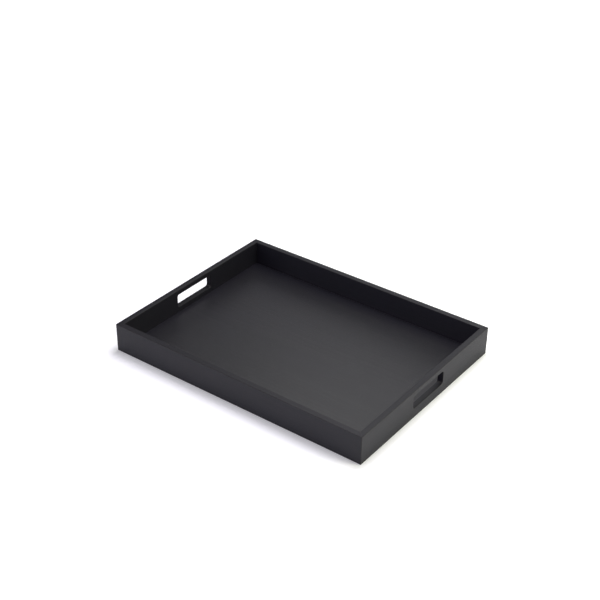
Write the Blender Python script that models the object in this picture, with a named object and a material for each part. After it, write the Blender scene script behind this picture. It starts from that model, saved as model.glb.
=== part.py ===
"""Butler tray: four mitred wooden walls round a flat base panel, with a hand slot in each short wall.

The tray stands on the edges of its walls. X runs along its long side, Y along its short side and
Z up, and the origin is on the table under the middle of the tray. Lengths are in metres.
"""
from math import atan2, cos, pi, radians, sin

import bmesh
import bpy
from mathutils import Vector

# Outside of the tray
tray_length = 0.480
tray_width = 0.360
wall_height = 0.050
wall_thickness = 0.010
edge_radius = 0.0008
corner_easing = 0.0004

# Hand slots, centred in the short walls
slot_length = 0.085
slot_height = 0.0235
slot_corner_radius = 0.004
slot_edge_radius = 0.0008
grip_height = 0.009

# Base panel, held in a groove round the inside of the walls
panel_thickness = 0.005
panel_rise = 0.003
panel_corner_clip = 0.0015
groove_depth = 0.004

# Loose tongues glued across the mitres
tongue_thickness = 0.0025
tongue_width = 0.006
tongue_height = 0.030
tongue_chamfer = 0.0004

# Clearance between pieces that touch
joint_gap = 0.0003

# Smoothness of round shapes, and the angles past which an edge is kept sharp or chamfered
edge_steps = 3
corner_steps = 6
sharp_angle = radians(35)
chamfer_angle = radians(60)
merge_distance = 1e-7

# Finishes: colour in linear light, then roughness
black_stain = (0.0125, 0.0122, 0.0130)
stain_roughness = 0.5
black_panel = (0.0150, 0.0148, 0.0155)
panel_roughness = 0.42
raw_beech = (0.50, 0.32, 0.18)
beech_roughness = 0.7


def rounded_outline(width, height, radius, steps):
    """Points of a rounded rectangle about the origin, anticlockwise, as (across, up) pairs."""
    points = []
    for quarter, (side, level) in enumerate(((1, 1), (-1, 1), (-1, -1), (1, -1))):
        across = side * (width / 2 - radius)
        up = level * (height / 2 - radius)
        for step in range(steps + 1):
            angle = (quarter + step / steps) * pi / 2
            points.append((across + radius * cos(angle), up + radius * sin(angle)))
    return points


def loft(name, rings):
    """A closed object skinned over rings of (x, y, z) points, which all have as many points."""
    bm = bmesh.new()
    loops = [[bm.verts.new(point) for point in ring] for ring in rings]
    for near, far in zip(loops, loops[1:]):
        for i in range(len(near)):
            j = (i + 1) % len(near)
            bm.faces.new((near[i], near[j], far[j], far[i]))
    bm.faces.new(loops[0])
    bm.faces.new(loops[-1])
    bmesh.ops.remove_doubles(bm, verts=bm.verts, dist=merge_distance)
    bmesh.ops.recalc_face_normals(bm, faces=bm.faces)
    mesh = bpy.data.meshes.new(name)
    bm.to_mesh(mesh)
    bm.free()
    piece = bpy.data.objects.new(name, mesh)
    bpy.context.scene.collection.objects.link(piece)
    return piece


def saw(piece, point, normal):
    """Cut away what lies beyond a plane and close the sawn face."""
    bm = bmesh.new()
    bm.from_mesh(piece.data)
    everything = bm.verts[:] + bm.edges[:] + bm.faces[:]
    cut = bmesh.ops.bisect_plane(bm, geom=everything, plane_co=point, plane_no=normal, clear_outer=True)
    sawn_edges = [part for part in cut["geom_cut"] if isinstance(part, bmesh.types.BMEdge)]
    bmesh.ops.contextual_create(bm, geom=sawn_edges)
    bmesh.ops.recalc_face_normals(bm, faces=bm.faces)
    bm.to_mesh(piece.data)
    bm.free()


def as_cutter(piece):
    """Mark an object as a cutter, which isn't part of the tray."""
    piece.hide_render = True
    piece.display_type = "WIRE"
    return piece


def cut(piece, tool):
    """Cut a piece with a cutter."""
    boolean = piece.modifiers.new(tool.name, "BOOLEAN")
    boolean.operation = "DIFFERENCE"
    boolean.solver = "EXACT"
    boolean.object = tool


def finish(piece, colour, roughness):
    """Give a piece its own material, and smooth shading that keeps its edges."""
    material = bpy.data.materials.new(piece.name + "_finish")
    material.use_nodes = True
    shader = material.node_tree.nodes["Principled BSDF"]
    shader.inputs["Base Color"].default_value = (*colour, 1)
    shader.inputs["Roughness"].default_value = roughness
    shader.inputs["Metallic"].default_value = 0
    piece.data.materials.append(material)
    piece.data.shade_smooth()
    piece.data.set_sharp_from_angle(angle=sharp_angle)


def make_wall(name, length, location, turn):
    """A straight bar with rounded edges, mitred at both ends, standing with its outer face at y = 0."""
    profile = rounded_outline(wall_thickness, wall_height, edge_radius, edge_steps)
    ends = []
    for x in (-length / 2, length / 2):
        ends.append([(x, y + wall_thickness / 2, z + wall_height / 2) for y, z in profile])
    wall = loft(name, ends)
    for end in (-1, 1):
        tip = Vector((end * length / 2, 0, 0))
        mitre_normal = Vector((end, 1, 0)).normalized()
        saw(wall, tip - mitre_normal * joint_gap / 2, mitre_normal)
        tip_normal = Vector((end, -1, 0)).normalized()
        saw(wall, tip - tip_normal * corner_easing, tip_normal)
    wall.location = location
    wall.rotation_euler.z = turn
    finish(wall, black_stain, stain_roughness)
    return wall


def make_board(name, length, width, thickness, bottom):
    """A flat rectangular board about the Z axis."""
    x, y = length / 2, width / 2
    corners = ((-x, -y), (x, -y), (x, y), (-x, y))
    levels = (bottom, bottom + thickness)
    return loft(name, [[(*corner, z) for corner in corners] for z in levels])


def make_strip(name, width, thickness, height, location, turn):
    """An upright strip with round edges, standing across a mitre."""
    outline = rounded_outline(thickness, height, thickness / 2, corner_steps)
    ends = (-width / 2, width / 2)
    strip = loft(name, [[(x, y, z) for y, z in outline] for x in ends])
    strip.location = location
    strip.rotation_euler.z = turn
    return strip


def make_slot_cutter(name, wall_middle):
    """A cutter for a hand slot, flared at both wall faces so that the slot's edges come out rounded."""
    flare = []
    for step in range(edge_steps + 1):
        angle = step / edge_steps * pi / 2
        depth = slot_edge_radius * (1 - sin(angle))
        growth = slot_edge_radius * (1 - cos(angle))
        flare.append((wall_thickness / 2 - depth, growth))
    # The outermost facet is made twice as long, so that no edge of the cutter lies in the wall's face.
    (inner_x, inner_growth), (face_x, face_growth) = flare[-2:]
    flare[-1] = (2 * face_x - inner_x, 2 * face_growth - inner_growth)
    stations = [(-x, growth) for x, growth in reversed(flare)] + flare
    rings = []
    for x, growth in stations:
        length = slot_length + 2 * growth
        height = slot_height + 2 * growth
        outline = rounded_outline(length, height, slot_corner_radius + growth, corner_steps)
        rings.append([(x, y, z) for y, z in outline])
    tool = as_cutter(loft(name, rings))
    tool.location = (wall_middle, 0, wall_height - grip_height - slot_height / 2)
    return tool


for old in list(bpy.data.objects):
    bpy.data.objects.remove(old, do_unlink=True)

# Walls, each turned so that its outer face looks away from the tray's middle
walls = {
    "front": make_wall("front_wall", tray_length, (0, -tray_width / 2, 0), 0),
    "right": make_wall("right_wall", tray_width, (tray_length / 2, 0, 0), pi / 2),
    "back": make_wall("back_wall", tray_length, (0, tray_width / 2, 0), pi),
    "left": make_wall("left_wall", tray_width, (-tray_length / 2, 0, 0), -pi / 2),
}

# Hand slots through the two short walls
for side, name in ((-1, "left"), (1, "right")):
    wall_middle = side * (tray_length - wall_thickness) / 2
    cut(walls[name], make_slot_cutter(name + "_slot_cutter", wall_middle))

# Groove round the inside of the walls, and the base panel that lies in it
groove_length = tray_length - 2 * (wall_thickness - groove_depth)
groove_width = tray_width - 2 * (wall_thickness - groove_depth)
groove_height = panel_thickness + 2 * joint_gap
groove_bottom = panel_rise - joint_gap
groove_cutter = as_cutter(
    make_board("groove_cutter", groove_length, groove_width, groove_height, groove_bottom))
for wall in walls.values():
    cut(wall, groove_cutter)

panel_length = groove_length - 2 * joint_gap
panel_width = groove_width - 2 * joint_gap
base_panel = make_board("base_panel", panel_length, panel_width, panel_thickness, panel_rise)
for x_side in (-1, 1):
    for y_side in (-1, 1):
        corner = Vector((x_side * panel_length / 2, y_side * panel_width / 2, 0))
        outward = Vector((x_side, y_side, 0)).normalized()
        saw(base_panel, corner - outward * panel_corner_clip, outward)
finish(base_panel, black_panel, panel_roughness)

# Loose tongues: one across each mitre, half in each wall, midway between the panel and the rim
tongue_size = (tongue_width, tongue_thickness, tongue_height)
mortise_size = [size + 2 * joint_gap for size in tongue_size]
tongue_middle = (panel_rise + panel_thickness + wall_height) / 2
for y_side, long_wall in ((-1, "front"), (1, "back")):
    for x_side, short_wall in ((-1, "left"), (1, "right")):
        corner_name = long_wall + "_" + short_wall
        place = (
            x_side * (tray_length - wall_thickness) / 2,
            y_side * (tray_width - wall_thickness) / 2,
            tongue_middle,
        )
        across_mitre = atan2(-y_side, x_side)
        mortise = as_cutter(
            make_strip(corner_name + "_mortise_cutter", *mortise_size, place, across_mitre))
        cut(walls[long_wall], mortise)
        cut(walls[short_wall], mortise)
        tongue = make_strip(corner_name + "_corner_tongue", *tongue_size, place, across_mitre)
        chamfer = tongue.modifiers.new("end_chamfer", "BEVEL")
        chamfer.width = tongue_chamfer
        chamfer.segments = 1
        chamfer.limit_method = "ANGLE"
        chamfer.angle_limit = chamfer_angle
        finish(tongue, raw_beech, beech_roughness)
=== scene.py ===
"""Looks of a black butler tray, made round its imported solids.

Four mitred boards of beech stand round a veneered floor panel. All of it is stained black and has a
satin lacquer. Lengths are in metres, X runs along the long side of the tray and Z is up.
"""
from math import cos, pi, radians, sin, sqrt

import bpy
from mathutils import Matrix, Vector


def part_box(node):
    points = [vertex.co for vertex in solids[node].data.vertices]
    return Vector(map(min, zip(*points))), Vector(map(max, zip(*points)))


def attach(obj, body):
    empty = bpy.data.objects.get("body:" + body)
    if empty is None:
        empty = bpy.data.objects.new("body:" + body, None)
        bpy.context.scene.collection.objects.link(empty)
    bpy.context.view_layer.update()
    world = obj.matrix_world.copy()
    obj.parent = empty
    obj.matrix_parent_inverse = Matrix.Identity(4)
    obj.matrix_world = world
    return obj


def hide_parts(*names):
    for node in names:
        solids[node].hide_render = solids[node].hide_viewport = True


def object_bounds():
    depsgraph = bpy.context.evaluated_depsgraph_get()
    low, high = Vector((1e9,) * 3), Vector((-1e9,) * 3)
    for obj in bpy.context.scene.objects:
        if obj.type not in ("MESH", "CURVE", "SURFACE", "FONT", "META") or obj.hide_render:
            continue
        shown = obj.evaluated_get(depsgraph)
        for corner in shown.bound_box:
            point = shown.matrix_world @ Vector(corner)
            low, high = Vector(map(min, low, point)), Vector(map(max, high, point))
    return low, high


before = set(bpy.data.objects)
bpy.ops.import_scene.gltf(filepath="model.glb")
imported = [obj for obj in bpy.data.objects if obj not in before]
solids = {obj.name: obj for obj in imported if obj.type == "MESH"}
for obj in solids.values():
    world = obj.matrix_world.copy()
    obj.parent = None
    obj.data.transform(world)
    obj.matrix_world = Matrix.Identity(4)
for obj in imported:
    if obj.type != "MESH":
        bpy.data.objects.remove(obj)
cad_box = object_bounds()


# Floor panel: a thin board with beech veneer on both faces, its grain along the tray, stained black and
# lacquered. It lies loose in a groove round the walls, so only its two flat faces are seen, and the
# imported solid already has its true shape.
def linear(colour):
    """The linear red, green, blue and alpha of an sRGB colour written as #rrggbb."""
    channels = [int(colour[i:i + 2], 16) / 255 for i in (1, 3, 5)]
    light = [c / 12.92 if c <= 0.04045 else ((c + 0.055) / 1.055) ** 2.4 for c in channels]
    return (*light, 1)


def add(tree, kind, inputs=None, **settings):
    """A new node with its settings, and its inputs by name or number: values, outputs or whole nodes.

    A list fills one input with several links.
    """
    node = tree.nodes.new(kind)
    for name, value in settings.items():
        setattr(node, name, value)
    live = [socket for socket in node.inputs if socket.enabled]
    for key, given_value in (inputs or {}).items():
        socket = live[key] if isinstance(key, int) else next(s for s in live if s.name == key)
        for value in given_value if isinstance(given_value, list) else [given_value]:
            if isinstance(value, bpy.types.Node):
                value = next(output for output in value.outputs if output.enabled)
            if isinstance(value, bpy.types.NodeSocket):
                tree.links.new(value, socket)
            else:
                socket.default_value = value
    return node


def stained_beech(name, attribute, pith, ring_width, roughness, ior):
    """Beech under black stain and satin lacquer, its grain along the first axis of the wood's own place.

    That place is read from the attribute of that name, or without one from the object's coordinates.
    """
    material = bpy.data.materials.new(name)
    material.use_nodes = True
    tree = material.node_tree
    tree.nodes.clear()
    if attribute:
        place = add(tree, "ShaderNodeAttribute", attribute_name=attribute).outputs["Vector"]
    else:
        place = add(tree, "ShaderNodeTexCoord").outputs["Object"]

    # Growth rings round a pith that lies beside the wood, drawn out along the grain. Their spacing
    # drifts, and some years show more than others. Blender's wave repeats every pi / 10 at a scale of 1.
    ring_stretch = 18
    ring_drift = 26.0
    drift_scale = 0.13
    wave_period = pi / 10
    years_alike = 2.5
    from_pith = add(tree, "ShaderNodeMapping",
                    {"Vector": place, "Location": (0, *pith), "Scale": (1 / ring_stretch, 1, 1)})
    rings = add(tree, "ShaderNodeTexWave",
                {"Vector": from_pith, "Scale": wave_period / ring_width, "Distortion": ring_drift,
                 "Detail": 3.0, "Detail Scale": drift_scale, "Detail Roughness": 0.5},
                wave_type="RINGS", rings_direction="X", wave_profile="SAW")
    years = add(tree, "ShaderNodeTexNoise",
                {"Vector": from_pith, "Scale": 1 / (years_alike * ring_width), "Detail": 1.0})
    late_wood = add(tree, "ShaderNodeMath", {0: rings.outputs["Fac"], 1: years}, operation="MULTIPLY")

    # Fibre: streaks 0.5 mm wide and some 40 mm long.
    fibre_width = 0.0005
    fibre_stretch = 80
    along_fibre = add(tree, "ShaderNodeMapping", {"Vector": place, "Scale": (1 / fibre_stretch, 1, 1)})
    fibre = add(tree, "ShaderNodeTexNoise",
                {"Vector": along_fibre, "Scale": 1 / fibre_width, "Detail": 3.0, "Roughness": 0.6})

    # Ray flecks: the short dark dashes of flat-sawn beech, about 0.25 mm wide and 2 mm long. Their edge
    # and core are shares of the spacing, from the middle.
    fleck_spacing = 0.0007
    fleck_stretch = 7
    fleck_edge = 0.26
    fleck_core = 0.12
    along_fleck = add(tree, "ShaderNodeMapping", {"Vector": place, "Scale": (1 / fleck_stretch, 1, 1)})
    cells = add(tree, "ShaderNodeTexVoronoi",
                {"Vector": along_fleck, "Scale": 1 / fleck_spacing, "Randomness": 1.0})
    flecks = add(tree, "ShaderNodeMapRange",
                 {"Value": cells, "From Min": fleck_edge, "From Max": fleck_core,
                  "To Min": 0.0, "To Max": 1.0},
                 interpolation_type="SMOOTHSTEP")

    # Clouds where the stain went in more or less, about 60 mm across.
    cloud_width = 0.06
    clouds = add(tree, "ShaderNodeTexNoise",
                 {"Vector": place, "Scale": 1 / cloud_width, "Detail": 2.0, "Roughness": 0.5})

    # Arrises, where the surface leans off the three axes, are painted a little lighter: partly the stain
    # rubbed a little thinner there, partly a painted highlight along the rounded edges. The fourth powers
    # of the normal add up to 1 on a flat face, and to a half midway round an edge.
    on_face = 1.0
    on_arris = 0.5
    normal = add(tree, "ShaderNodeNewGeometry").outputs["Normal"]
    squared = add(tree, "ShaderNodeVectorMath", {0: normal, 1: normal}, operation="MULTIPLY")
    flatness = add(tree, "ShaderNodeVectorMath", {0: squared, 1: squared}, operation="DOT_PRODUCT")
    arris = add(tree, "ShaderNodeMapRange",
                {"Value": flatness.outputs["Value"], "From Min": on_face, "From Max": on_arris,
                 "To Min": 0.0, "To Max": 1.0})

    # Colour: black with a breath of violet, lighter and warmer on the arrises, where the stain is rubbed
    # thin and a highlight is painted.
    strongest_figure = 0.4
    figured = add(tree, "ShaderNodeMath", {0: late_wood, 1: fibre}, operation="MULTIPLY")
    figure = add(tree, "ShaderNodeMapRange",
                 {"Value": figured, "From Min": 0.0, "From Max": strongest_figure,
                  "To Min": 0.0, "To Max": 1.0})
    stain = add(tree, "ShaderNodeMix",
                {"Factor": figure, "A": linear("#0d0c12"), "B": linear("#18161b")}, data_type="RGBA")
    cloudy = add(tree, "ShaderNodeMix",
                 {"Factor": clouds, "A": stain, "B": linear("#121119")}, data_type="RGBA")
    flecked = add(tree, "ShaderNodeMix",
                  {"Factor": flecks, "A": cloudy, "B": linear("#08080c")}, data_type="RGBA")
    # The arrises are painted lighter: partly stain rubbed thin, partly a painted highlight on the rounded
    # edges.
    rubbed_and_highlit = add(tree, "ShaderNodeMix",
                 {"Factor": arris, "A": flecked, "B": linear("#1b1919")}, data_type="RGBA")

    # Roughness: a satin lacquer, a little closed over the late wood and polished on the arrises.
    early_wood_change = 0.02
    late_wood_change = -0.04
    arris_change = -0.05
    lacquer = add(tree, "ShaderNodeMapRange",
                  {"Value": figure, "From Min": 0.0, "From Max": 1.0,
                   "To Min": roughness + early_wood_change, "To Max": roughness + late_wood_change})
    polished = add(tree, "ShaderNodeMath", {0: arris, 1: arris_change, 2: lacquer},
                   operation="MULTIPLY_ADD")

    # Relief: the lacquer sinks 0.05 mm into the flecks, about as far between the fibres, and less between
    # the rings.
    grain_depth = 0.00005
    fibre_height = 2.0
    ribbed = add(tree, "ShaderNodeMath", {0: fibre, 1: fibre_height, 2: figured}, operation="MULTIPLY_ADD")
    relief = add(tree, "ShaderNodeMath", {0: flecks, 1: -1.0, 2: ribbed}, operation="MULTIPLY_ADD")
    bump = add(tree, "ShaderNodeBump", {"Height": relief, "Distance": grain_depth, "Strength": 1.0})

    shader = add(tree, "ShaderNodeBsdfPrincipled",
                 {"Base Color": rubbed_and_highlit, "Roughness": polished, "IOR": ior, "Normal": bump})
    add(tree, "ShaderNodeOutputMaterial", {"Surface": shader})
    return material


# A sliced veneer shows calm, nearly straight figure, and its flat lacquer a broad soft sheen, almost as
# strong as a lacquer's usual IOR of 1.5 gives.
veneer_ring_width = 0.0045
veneer_pith = (0.03, 0.11)
panel_roughness = 0.40
panel_ior = 1.47
panel_finish = stained_beech(
    "black_stained_beech_veneer", None, veneer_pith, veneer_ring_width, panel_roughness, panel_ior)
solids["base_panel"].data.materials.clear()
solids["base_panel"].data.materials.append(panel_finish)


# Walls: four straight boards of solid beech, 10 mm thick, mitred and glued round the panel. The hand slots
# are routed through the two short ones, every edge that a hand meets is rounded over, and the outside
# corners are sanded round after glueing. Black stain and satin lacquer go on last.
foot, rim = cad_box[0].z, cad_box[1].z
tray_length = cad_box[1].x - cad_box[0].x
tray_width = cad_box[1].y - cad_box[0].y
front_low, front_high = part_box("front_wall")
panel_low, panel_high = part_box("base_panel")
tongue_low, tongue_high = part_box("front_left_corner_tongue")
wall_thickness = front_high.y - front_low.y
groove_clearance = 0.00015
groove_depth = wall_thickness - (panel_low.y - front_low.y) + groove_clearance

slot_length = 0.085
slot_height = 0.0235
slot_radius = 0.004
grip_height = 0.009
edge_radius = 0.0008
corner_radius = 0.001
mitre_gap = 0.00016
tongue_width = 0.006
tongue_thickness = 0.0025

board_sizes = {
    "Length": tray_length,
    "Thickness": wall_thickness,
    "Height": rim - foot,
    "Mitre gap": mitre_gap,
    "Corner radius": corner_radius,
    "Groove depth": groove_depth,
    "Groove bottom": panel_low.z - groove_clearance,
    "Groove top": panel_high.z + groove_clearance,
    "Mortise width": tongue_width + 2 * groove_clearance,
    "Mortise thickness": tongue_thickness + 2 * groove_clearance,
    "Mortise bottom": tongue_low.z - groove_clearance,
    "Mortise top": tongue_high.z + groove_clearance,
    "Slot length": slot_length,
    "Slot height": slot_height,
    "Slot radius": slot_radius,
    "Slot middle": rim - grip_height - slot_height / 2,
}
board_tree = bpy.data.node_groups.new("mitred_board", "GeometryNodeTree")
for size_name in board_sizes:
    board_tree.interface.new_socket(size_name, in_out="INPUT", socket_type="NodeSocketFloat")
board_tree.interface.new_socket("Has slot", in_out="INPUT", socket_type="NodeSocketBool")
board_tree.interface.new_socket("Finish", in_out="INPUT", socket_type="NodeSocketMaterial")
board_tree.interface.new_socket("End grain", in_out="INPUT", socket_type="NodeSocketMaterial")
board_tree.interface.new_socket("Board", in_out="OUTPUT", socket_type="NodeSocketGeometry")
size = add(board_tree, "NodeGroupInput").outputs

# The board lies along X with its outer face at y = 0. It is planed to size, then its ends are drawn in
# along the mitre, each by half the gap, which is measured square to the joint.
stock_size = add(board_tree, "ShaderNodeCombineXYZ",
                 {"X": size["Length"], "Y": size["Thickness"], "Z": size["Height"]})
to_corner = add(board_tree, "ShaderNodeVectorMath", {0: stock_size, 1: (0, 0.5, 0.5)}, operation="MULTIPLY")
plank = add(board_tree, "GeometryNodeMeshCube", {"Size": stock_size})
planed = add(board_tree, "GeometryNodeTransform", {"Geometry": plank, "Translation": to_corner})
point = add(board_tree, "ShaderNodeSeparateXYZ", {0: add(board_tree, "GeometryNodeInputPosition")}).outputs
end = add(board_tree, "ShaderNodeMath", {0: point["X"]}, operation="SIGN")
half_length = add(board_tree, "ShaderNodeMath", {0: size["Length"], 1: 2.0}, operation="DIVIDE")
drawn_in = add(board_tree, "ShaderNodeMath", {0: size["Mitre gap"], 1: sqrt(0.5), 2: point["Y"]},
               operation="MULTIPLY_ADD")
reach = add(board_tree, "ShaderNodeMath", {0: half_length, 1: drawn_in}, operation="SUBTRACT")
mitred_x = add(board_tree, "ShaderNodeMath", {0: end, 1: reach}, operation="MULTIPLY")
mitred_point = add(board_tree, "ShaderNodeCombineXYZ", {"X": mitred_x, "Y": point["Y"], "Z": point["Z"]})
mitred = add(board_tree, "GeometryNodeSetPosition", {"Geometry": planed, "Position": mitred_point})

# Sanding the glued corners round leaves what lies inside a round-cornered block, which reaches well past
# the board's height.
corner_steps = 6
block_bottom = -0.1
block_top = 0.2
block_outline = add(board_tree, "GeometryNodeCurvePrimitiveQuadrilateral",
                    {"Width": size["Length"], "Height": size["Length"]})
block_rounded = add(board_tree, "GeometryNodeFilletCurve",
                    {"Curve": block_outline, "Count": corner_steps, "Radius": size["Corner radius"]},
                    mode="POLY")
block_path = add(board_tree, "GeometryNodeCurvePrimitiveLine",
                 {"Start": (0, 0, block_bottom), "End": (0, 0, block_top)})
block = add(board_tree, "GeometryNodeCurveToMesh",
            {"Curve": block_path, "Profile Curve": block_rounded, "Fill Caps": True})
block_shift = add(board_tree, "ShaderNodeCombineXYZ", {"Y": half_length})
block_placed = add(board_tree, "GeometryNodeTransform", {"Geometry": block, "Translation": block_shift})
sanded = add(board_tree, "GeometryNodeMeshBoolean", {"Mesh": [mitred, block_placed]},
             operation="INTERSECT", solver="EXACT")

# The groove for the panel is ploughed along the whole inner face.
groove_middle = add(board_tree, "ShaderNodeMath",
                    {0: size["Groove bottom"], 1: size["Groove top"]}, operation="ADD")
groove_height = add(board_tree, "ShaderNodeMath",
                    {0: size["Groove top"], 1: size["Groove bottom"]}, operation="SUBTRACT")
groove_reach = add(board_tree, "ShaderNodeMath", {0: size["Groove depth"], 1: 2.0}, operation="MULTIPLY")
groove_size = add(board_tree, "ShaderNodeCombineXYZ",
                  {"X": size["Length"], "Y": groove_reach, "Z": groove_height})
groove_level = add(board_tree, "ShaderNodeMath", {0: groove_middle, 1: 2.0}, operation="DIVIDE")
groove_place = add(board_tree, "ShaderNodeCombineXYZ", {"Y": size["Thickness"], "Z": groove_level})
groove_plough = add(board_tree, "GeometryNodeMeshCube", {"Size": groove_size})
groove = add(board_tree, "GeometryNodeTransform", {"Geometry": groove_plough, "Translation": groove_place})

# A mortise for the loose tongue is sunk square into each mitre, in the middle of the wood.
mortise_height = add(board_tree, "ShaderNodeMath",
                     {0: size["Mortise top"], 1: size["Mortise bottom"]}, operation="SUBTRACT")
mortise_sum = add(board_tree, "ShaderNodeMath",
                  {0: size["Mortise top"], 1: size["Mortise bottom"]}, operation="ADD")
mortise_level = add(board_tree, "ShaderNodeMath", {0: mortise_sum, 1: 2.0}, operation="DIVIDE")
mortise_outline = add(board_tree, "GeometryNodeCurvePrimitiveQuadrilateral",
                      {"Width": size["Mortise thickness"], "Height": mortise_height})
mortise_bend = add(board_tree, "ShaderNodeMath", {0: size["Mortise thickness"], 1: 2.0}, operation="DIVIDE")
mortise_rounded = add(board_tree, "GeometryNodeFilletCurve",
                      {"Curve": mortise_outline, "Count": corner_steps, "Radius": mortise_bend},
                      mode="POLY")
mortise_half = add(board_tree, "ShaderNodeMath", {0: size["Mortise width"], 1: 2.0}, operation="DIVIDE")
mortise_back = add(board_tree, "ShaderNodeMath", {0: mortise_half, 1: -1.0}, operation="MULTIPLY")
mortise_path = add(board_tree, "GeometryNodeCurvePrimitiveLine",
                   {"Start": add(board_tree, "ShaderNodeCombineXYZ", {"X": mortise_back}),
                    "End": add(board_tree, "ShaderNodeCombineXYZ", {"X": mortise_half})})
mortise = add(board_tree, "GeometryNodeCurveToMesh",
              {"Curve": mortise_path, "Profile Curve": mortise_rounded, "Fill Caps": True})
half_thickness = add(board_tree, "ShaderNodeMath", {0: size["Thickness"], 1: 2.0}, operation="DIVIDE")
corner_x = add(board_tree, "ShaderNodeMath", {0: half_length, 1: half_thickness}, operation="SUBTRACT")
other_x = add(board_tree, "ShaderNodeMath", {0: corner_x, 1: -1.0}, operation="MULTIPLY")
corners = add(board_tree, "GeometryNodeMeshLine",
              {"Count": 2,
               "Start Location": add(board_tree, "ShaderNodeCombineXYZ",
                                     {"X": other_x, "Y": half_thickness, "Z": mortise_level}),
               "Offset": add(board_tree, "ShaderNodeCombineXYZ",
                             {"X": corner_x, "Y": half_thickness, "Z": mortise_level})},
              mode="END_POINTS")
corner_turn = add(board_tree, "ShaderNodeMath", {0: end, 1: pi / 4}, operation="MULTIPLY")
across_mitre = add(board_tree, "FunctionNodeEulerToRotation",
                   {0: add(board_tree, "ShaderNodeCombineXYZ", {"Z": corner_turn})})
mortises = add(board_tree, "GeometryNodeInstanceOnPoints",
               {"Points": corners, "Instance": mortise, "Rotation": across_mitre})
joinery = add(board_tree, "GeometryNodeJoinGeometry",
              {"Geometry": [groove, add(board_tree, "GeometryNodeRealizeInstances", {0: mortises})]})
grooved = add(board_tree, "GeometryNodeMeshBoolean", {"Mesh 1": sanded, "Mesh 2": joinery},
              operation="DIFFERENCE", solver="EXACT")

# The hand slot is routed right through a short board, with the round ends that the cutter leaves.
slot_outline = add(board_tree, "GeometryNodeCurvePrimitiveQuadrilateral",
                   {"Width": size["Slot length"], "Height": size["Slot height"]})
slot_rounded = add(board_tree, "GeometryNodeFilletCurve",
                   {"Curve": slot_outline, "Count": corner_steps, "Radius": size["Slot radius"]},
                   mode="POLY")
slot_in = add(board_tree, "ShaderNodeMath", {0: size["Thickness"], 1: -1.0}, operation="MULTIPLY")
slot_out = add(board_tree, "ShaderNodeMath", {0: size["Thickness"], 1: 2.0}, operation="MULTIPLY")
slot_path = add(board_tree, "GeometryNodeCurvePrimitiveLine",
                {"Start": add(board_tree, "ShaderNodeCombineXYZ", {"Y": slot_in, "Z": size["Slot middle"]}),
                 "End": add(board_tree, "ShaderNodeCombineXYZ", {"Y": slot_out, "Z": size["Slot middle"]})})
slot_cutter = add(board_tree, "GeometryNodeCurveToMesh",
                  {"Curve": slot_path, "Profile Curve": slot_rounded, "Fill Caps": True})
slot = add(board_tree, "GeometryNodeSwitch", {"Switch": size["Has slot"], "True": slot_cutter},
           input_type="GEOMETRY")
routed = add(board_tree, "GeometryNodeMeshBoolean", {"Mesh 1": grooved, "Mesh 2": slot},
             operation="DIFFERENCE", solver="EXACT")

# The slot's edges, and the long edges up to the mitres, are marked for the Bevel that rounds them over.
touching = 0.00002
crisp_angle = radians(35)
fold = add(board_tree, "GeometryNodeInputMeshEdgeAngle").outputs["Unsigned Angle"]
crisp = add(board_tree, "FunctionNodeCompare", {"A": fold, "B": crisp_angle}, operation="GREATER_THAN")
headroom = add(board_tree, "ShaderNodeMath", {0: size["Height"], 1: point["Z"]}, operation="SUBTRACT")
from_edge = add(board_tree, "ShaderNodeMath", {0: headroom, 1: point["Z"]}, operation="MINIMUM")
at_edge = add(board_tree, "FunctionNodeCompare", {"A": from_edge, "B": touching}, operation="LESS_THAN")
off_centre = add(board_tree, "ShaderNodeMath", {0: point["X"]}, operation="ABSOLUTE")
to_mitre = add(board_tree, "ShaderNodeMath", {0: reach, 1: off_centre}, operation="SUBTRACT")
off_mitre = add(board_tree, "FunctionNodeCompare", {"A": to_mitre, "B": touching},
                operation="GREATER_THAN")
long_edge = add(board_tree, "FunctionNodeBooleanMath",
                {0: add(board_tree, "FunctionNodeBooleanMath", {0: crisp, 1: at_edge}, operation="AND"),
                 1: off_mitre}, operation="AND")
slot_edge = add(board_tree, "FunctionNodeBooleanMath",
                {0: routed.outputs["Intersecting Edges"], 1: size["Has slot"]}, operation="AND")
rounded_edge = add(board_tree, "FunctionNodeBooleanMath", {0: long_edge, 1: slot_edge}, operation="OR")
marked = add(board_tree, "GeometryNodeStoreNamedAttribute",
             {"Geometry": routed, "Name": "bevel_weight_edge", "Value": rounded_edge},
             data_type="FLOAT", domain="EDGE")
realized = add(board_tree, "GeometryNodeRealizeInstances", {0: marked})
finished = add(board_tree, "GeometryNodeSetMaterial", {"Geometry": realized, "Material": size["Finish"]})

# The ends of the slot are cut across the grain, so they have a finish of their own.
end_grain_angle = radians(30)
lean = add(board_tree, "ShaderNodeSeparateXYZ",
           {0: add(board_tree, "GeometryNodeInputNormal")}).outputs["X"]
steepness = add(board_tree, "ShaderNodeMath", {0: lean}, operation="ABSOLUTE")
across_grain = add(board_tree, "FunctionNodeCompare", {"A": steepness, "B": cos(end_grain_angle)},
                   operation="GREATER_THAN")
end_finished = add(board_tree, "GeometryNodeSetMaterial",
                   {"Geometry": finished, "Selection": across_grain, "Material": size["End grain"]})
add(board_tree, "NodeGroupOutput", {"Board": end_finished})

# Solid boards show livelier figure than the veneer, and the brushed lacquer on them is rougher and dimmer:
# its IOR is lower than a lacquer's usual 1.5, to match the tray's dark walls.
board_ring_width = 0.0026
board_pith = (0.035, 0.020)
board_roughness = 0.50
board_ior = 1.34
board_finish = stained_beech(
    "black_stained_solid_beech", "board", board_pith, board_ring_width, board_roughness, board_ior)

# End grain drinks the stain and the lacquer, and stays open: blacker and duller than the faces.
end_grain_roughness = 0.75
end_grain_ior = 1.2
end_grain_finish = stained_beech(
    "black_stained_end_grain", "board", board_pith, board_ring_width, end_grain_roughness, end_grain_ior)

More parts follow.
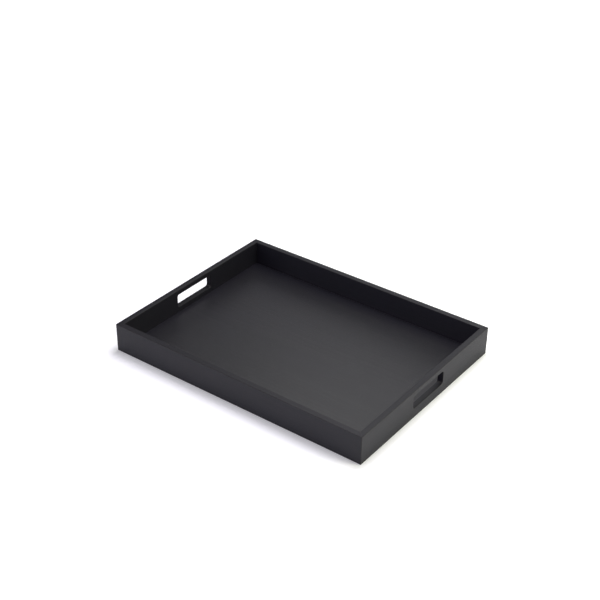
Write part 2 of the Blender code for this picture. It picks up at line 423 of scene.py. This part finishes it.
edge_steps = 5
plank_offset = 0.7
walls = (
    ("front", tray_length, False, Vector((0, -tray_width / 2, 0)), 0),
    ("right", tray_width, True, Vector((tray_length / 2, 0, 0)), pi / 2),
    ("back", tray_length, False, Vector((0, tray_width / 2, 0)), pi),
    ("left", tray_width, True, Vector((-tray_length / 2, 0, 0)), -pi / 2),
)
sockets = {socket.name: socket.identifier for socket in board_tree.interface.items_tree}
for number, (side, length, has_slot, middle, turn) in enumerate(walls):
    bench = bpy.data.objects.new(side + "_on_bench", bpy.data.meshes.new(side + "_stock"))
    bpy.context.scene.collection.objects.link(bench)
    joiner = bench.modifiers.new("mitred_board", "NODES")
    joiner.node_group = board_tree
    for size_name, value in board_sizes.items():
        joiner[sockets[size_name]] = value
    joiner[sockets["Length"]] = length
    joiner[sockets["Has slot"]] = has_slot
    joiner[sockets["Finish"]] = board_finish
    joiner[sockets["End grain"]] = end_grain_finish
    router = bench.modifiers.new("rounded_edges", "BEVEL")
    router.limit_method = "WEIGHT"
    router.width = edge_radius
    router.segments = edge_steps
    router.use_clamp_overlap = False
    seams = bench.modifiers.new("closed_seams", "WELD")
    seams.merge_threshold = touching
    evaluated = bench.evaluated_get(bpy.context.evaluated_depsgraph_get())
    mesh = bpy.data.meshes.new_from_object(evaluated)
    bpy.data.objects.remove(bench)

    # The wood's own place is kept from before the board is turned, and each is cut from another plank.
    wood = mesh.attributes.new("board", "FLOAT_VECTOR", "POINT")
    for vertex, entry in zip(mesh.vertices, wood.data):
        entry.vector = vertex.co + Vector((number * plank_offset, 0, 0))
    mesh.transform(Matrix.Translation(middle) @ Matrix.Rotation(turn, 4, "Z"))
    mesh.shade_smooth()
    mesh.set_sharp_from_angle(angle=crisp_angle)
    board = bpy.data.objects.new(side + "_board", mesh)
    bpy.context.scene.collection.objects.link(board)
    flat_faces = board.modifiers.new("flat_faces", "WEIGHTED_NORMAL")
    flat_faces.keep_sharp = True
    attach(board, "root")
    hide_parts(side + "_wall")


# Corner tongues: four loose strips of plain beech, glued half into each board across the mitre, their
# grain square to the joint. They are out of sight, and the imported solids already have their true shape.
def raw_beech(name, turn):
    """Planed beech without any finish, its grain turned by that angle from X.

    It looks pale and dry, with fine streaks 0.6 mm wide and brown flecks 1.5 mm long.
    """
    material = bpy.data.materials.new(name)
    material.use_nodes = True
    tree = material.node_tree
    tree.nodes.clear()
    place = add(tree, "ShaderNodeTexCoord").outputs["Object"]
    turned = add(tree, "ShaderNodeMapping", {"Vector": place, "Rotation": (0, 0, -turn)})
    grain_width = 0.0006
    grain_stretch = 25
    along = add(tree, "ShaderNodeMapping", {"Vector": turned, "Scale": (1 / grain_stretch, 1, 1)})
    grain = add(tree, "ShaderNodeTexNoise",
                {"Vector": along, "Scale": 1 / grain_width, "Detail": 4.0, "Roughness": 0.6})
    fleck_spacing = 0.0011
    fleck_stretch = 5
    fleck_edge = 0.20
    fleck_core = 0.08
    along_fleck = add(tree, "ShaderNodeMapping", {"Vector": turned, "Scale": (1 / fleck_stretch, 1, 1)})
    cells = add(tree, "ShaderNodeTexVoronoi", {"Vector": along_fleck, "Scale": 1 / fleck_spacing})
    flecks = add(tree, "ShaderNodeMapRange",
                 {"Value": cells, "From Min": fleck_edge, "From Max": fleck_core,
                  "To Min": 0.0, "To Max": 1.0})
    wood = add(tree, "ShaderNodeMix",
               {"Factor": grain, "A": linear("#b98d5f"), "B": linear("#dcb98c")}, data_type="RGBA")
    flecked = add(tree, "ShaderNodeMix",
                  {"Factor": flecks, "A": wood, "B": linear("#8f6238")}, data_type="RGBA")
    smoothest = 0.62
    roughest = 0.78
    roughness = add(tree, "ShaderNodeMapRange", {"Value": grain, "To Min": smoothest, "To Max": roughest})
    grain_depth = 0.00003
    bump = add(tree, "ShaderNodeBump", {"Height": grain, "Distance": grain_depth, "Strength": 1.0})
    shader = add(tree, "ShaderNodeBsdfPrincipled",
                 {"Base Color": flecked, "Roughness": roughness, "IOR": 1.5, "Normal": bump})
    add(tree, "ShaderNodeOutputMaterial", {"Surface": shader})
    return material


for turn, names in (
    (pi / 4, ("front_right_corner_tongue", "back_left_corner_tongue")),
    (-pi / 4, ("front_left_corner_tongue", "back_right_corner_tongue")),
):
    direction = "rising" if turn > 0 else "falling"
    tongue_finish = raw_beech("planed_beech_" + direction, turn)
    for name in names:
        solids[name].data.materials.clear()
        solids[name].data.materials.append(tongue_finish)


# Studio: a plain table of matt opal acrylic in a dim room. Its top glows faintly by itself, painted light
# that stands in for a lamp below and thins the tray's shadow. Four soft lights hang near the tray and three
# large ones stand further off. Two more, with grids over them, whiten the table behind it.
table_size = 60.0
table_drop = 0.0002
table_roughness = 0.9
table_gloss = 0.2
table_glow = 0.16
room_strength = 0.28
table_reach = table_size / 2
table_corners = ((-1, -1), (1, -1), (1, 1), (-1, 1))
table_mesh = bpy.data.meshes.new("table")
table_mesh.from_pydata(
    [(x * table_reach, y * table_reach, foot - table_drop) for x, y in table_corners], [], [(0, 1, 2, 3)])
table = bpy.data.objects.new("table", table_mesh)
bpy.context.scene.collection.objects.link(table)

# Sanded opal acrylic looks an even milky white, with hardly any gloss.
table_finish = bpy.data.materials.new("matt_opal_acrylic")
table_finish.use_nodes = True
table_shader = table_finish.node_tree.nodes["Principled BSDF"]
table_shader.inputs["Base Color"].default_value = linear("#f4f4f4")
table_shader.inputs["Roughness"].default_value = table_roughness
table_shader.inputs["Specular IOR Level"].default_value = table_gloss
# Its top glows faintly by itself: painted light, in place of a lamp below, that thins the tray's shadow.
table_shader.inputs["Emission Color"].default_value = linear("#ffffff")
table_shader.inputs["Emission Strength"].default_value = table_glow
table_mesh.materials.append(table_finish)

room = bpy.data.worlds.new("dim_room")
room.use_nodes = True
room_light = room.node_tree.nodes["Background"]
room_light.inputs["Color"].default_value = linear("#ffffff")
room_light.inputs["Strength"].default_value = room_strength
bpy.context.scene.world = room


def hang_softbox(name, place, width, strength, colour):
    """A round soft light hung at that place, which faces straight down until it is turned."""
    lamp = bpy.data.lights.new(name, "AREA")
    lamp.shape = "DISK"
    lamp.size = width
    lamp.energy = strength
    lamp.color = linear(colour)[:3]
    softbox = bpy.data.objects.new(name, lamp)
    softbox.location = place
    bpy.context.scene.collection.objects.link(softbox)
    return softbox


# The first seven face the tray: name, compass angle from the back, height angle, distance, width, strength
# in watts and colour.
for name, compass, height, distance, width, strength, colour in (
    ("overhead_softbox", 0, 82, 1.2, 0.6, 10.9, "#f6f3ff"),
    ("right_softbox", 80, 25, 1.2, 0.6, 8.3, "#fcfee8"),
    ("high_back_left_softbox", 330, 60, 1.2, 0.6, 1.9, "#fdfff0"),
    ("back_left_softbox", 330, 25, 1.2, 0.6, 0.54, "#faf9ff"),
    ("far_back_softbox", 0, 15, 3.0, 1.65, 34.0, "#fefffc"),
    ("far_front_softbox", 180, 15, 3.0, 1.65, 27.0, "#ebe6ff"),
    ("far_front_left_softbox", 210, 15, 3.0, 1.65, 21.6, "#f2f0ff"),
):
    across = distance * cos(radians(height))
    place = Vector((across * sin(radians(compass)), across * cos(radians(compass)),
                    distance * sin(radians(height))))
    softbox = hang_softbox(name, place, width, strength, colour)
    softbox.rotation_euler = (-place).to_track_quat("-Z", "Y").to_euler()

# The gridded two hang behind the tray and face straight down: name, place and strength in watts. Their
# grids keep them off the tray.
grid_width = 0.5
grid_spread = radians(74)
for name, place, strength in (
    ("background_left_softbox", (-1.6, 1.2, 2.0), 10.0),
    ("background_right_softbox", (-0.3, 1.8, 1.8), 4.0),
):
    softbox = hang_softbox(name, place, grid_width, strength, "#ffffff")
    softbox.data.spread = grid_spread

# Camera: a 73 mm lens some two metres off, above and to the right of the front. The angles, the distance
# and the shift of its aim were fitted to the photograph's corners.
view_azimuth = radians(36.549)
view_elevation = radians(31.770)
view_roll = radians(0.688)
view_distance = 1.9942
aim_right = -0.0031
aim_up = 0.0840
lens = 73.37
backward = Vector((sin(view_azimuth) * cos(view_elevation), -cos(view_azimuth) * cos(view_elevation),
                   sin(view_elevation)))
level = Vector((0, 0, 1)).cross(backward).normalized()
upright = backward.cross(level)
rightward = cos(view_roll) * level + sin(view_roll) * upright
upward = cos(view_roll) * upright - sin(view_roll) * level
camera_lens = bpy.data.cameras.new("camera")
camera_lens.lens = lens
camera = bpy.data.objects.new("camera", camera_lens)
stand = aim_right * rightward + aim_up * upward + view_distance * backward
camera.matrix_world = (
    Matrix.Translation(stand) @ Matrix((rightward, upward, backward)).transposed().to_4x4())
bpy.context.scene.collection.objects.link(camera)
bpy.context.scene.camera = camera
bpy.context.scene.view_settings.view_transform = "Standard"
